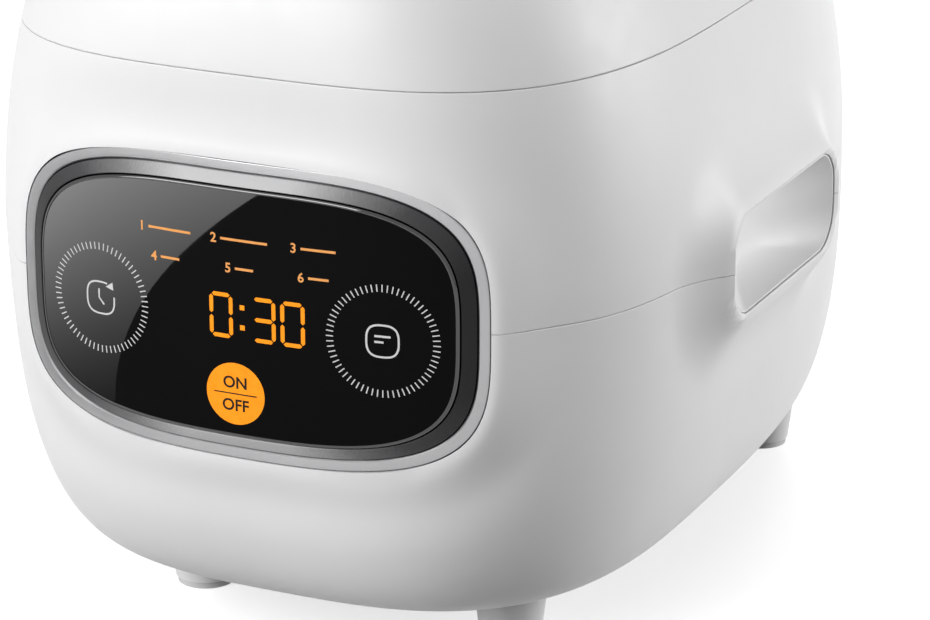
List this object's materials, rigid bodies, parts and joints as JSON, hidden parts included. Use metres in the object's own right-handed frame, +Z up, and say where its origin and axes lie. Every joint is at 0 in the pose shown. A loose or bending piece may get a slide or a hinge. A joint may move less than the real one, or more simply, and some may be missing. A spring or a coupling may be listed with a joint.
{
  "type": "electric rice cooker",
  "caption": "Compact white electric rice cooker with a rounded body, hinged lid, recessed side handles, a curved black touch panel, lift-off steam cap and a fixed inner pot.",
  "frame": {"origin": "on the floor below the middle of the overall box", "axes": "+X to the right of a viewer who faces the panel; +Y from the panel to the hinge; +Z up"},
  "size_m": [0.2194, 0.2814, 0.2175],
  "materials": {
    "white_shell": "satin gloss moulded white",
    "white_plastic": "fine matt moulded white",
    "pad_rubber": "grey rubber",
    "silicone": "translucent silicone",
    "pot_coating": "dark non-stick coating on aluminium",
    "plain_aluminium": "plain satin",
    "bare_steel": "bare",
    "bezel_grey": "satin light grey",
    "trim_metal": "dark brushed metal look",
    "panel_black": "polished black",
    "dark_plastic": "moulded dark",
    "circuit_board": "green solder mask"
  },
  "bodies": {
    "housing": {"lower_shell": "white_shell", "upper_shell": "white_shell", "bottom_cover": "white_plastic", "cover_screws": "bare_steel", "foot_front_left": "white_plastic", "foot_front_right": "white_plastic", "foot_rear_left": "white_plastic", "foot_rear_right": "white_plastic", "foot_pad_front_left": "pad_rubber", "foot_pad_front_right": "pad_rubber", "foot_pad_rear_left": "pad_rubber", "foot_pad_rear_right": "pad_rubber", "handle_pocket_left": "white_shell", "handle_pocket_right": "white_shell", "pot_collar": "white_plastic", "inner_pot": "pot_coating", "heat_shield": "plain_aluminium", "heating_plate": "plain_aluminium", "heater_terminals": "bare_steel", "plate_standoffs": "bare_steel", "thermal_fuse": "bare_steel", "sensor_bracket": "white_plastic", "sensor_spring": "bare_steel", "panel_bezel": "bezel_grey", "panel_trim": "trim_metal", "panel_glass": "panel_black", "display_frame": "dark_plastic", "control_board": "circuit_board", "panel_screws": "bare_steel", "display_module": "dark_plastic", "touch_contacts": "silicone", "power_board": "circuit_board", "power_screws": "bare_steel", "relay": "dark_plastic", "transformer": "dark_plastic", "capacitor": "dark_plastic", "power_inlet": "dark_plastic", "inlet_pins": "bare_steel", "hinge_base": "white_plastic", "hinge_pin": "bare_steel", "hinge_spring": "bare_steel"},
    "sensor": {"sensor_cap": "plain_aluminium"},
    "lid": {"lid_cover": "white_shell", "lid_liner": "white_plastic", "lid_screws": "bare_steel", "lid_hinge_arm": "white_plastic", "inner_lid": "plain_aluminium", "lid_gasket": "silicone", "inner_lid_grommet": "silicone", "vent_cup": "white_plastic", "latch_pin": "bare_steel", "latch_spring": "bare_steel"},
    "steam_cap": {"steam_cap": "white_plastic", "steam_cap_seal": "silicone"},
    "button": {"release_button": "white_shell"},
    "latch": {"latch_hook": "dark_plastic"}
  },
  "joints": [
    {"name": "lid_hinge", "type": "hinge", "parent": "housing", "child": "lid", "pos_m": [0, 0.1354, 0.1767], "axis": [-1, 0, 0], "range_deg": [0, 95]},
    {"name": "steam_cap_lift", "type": "slide", "parent": "lid", "child": "steam_cap", "axis": [0, 0, 1], "range_m": [0, 0.04]},
    {"name": "release_button_press", "type": "slide", "parent": "lid", "child": "button", "axis": [0, 0, -1], "range_m": [0, 0.003], "stiffness_N_per_m": 400, "springref_m": -0.003},
    {"name": "latch_turn", "type": "hinge", "parent": "lid", "child": "latch", "pos_m": [0, -0.108, 0.192], "axis": [-1, 0, 0], "range_deg": [0, 8.6], "deforming": ["latch_spring"]},
    {"name": "sensor_press", "type": "slide", "parent": "housing", "child": "sensor", "axis": [0, 0, -1], "range_m": [0, 0.002], "stiffness_N_per_m": 500, "springref_m": -0.003, "deforming": ["sensor_spring"]}
  ],
  "couplings": [
    {"joint": "latch_turn", "follows": "release_button_press", "rad_per_m": 50}
  ]
}
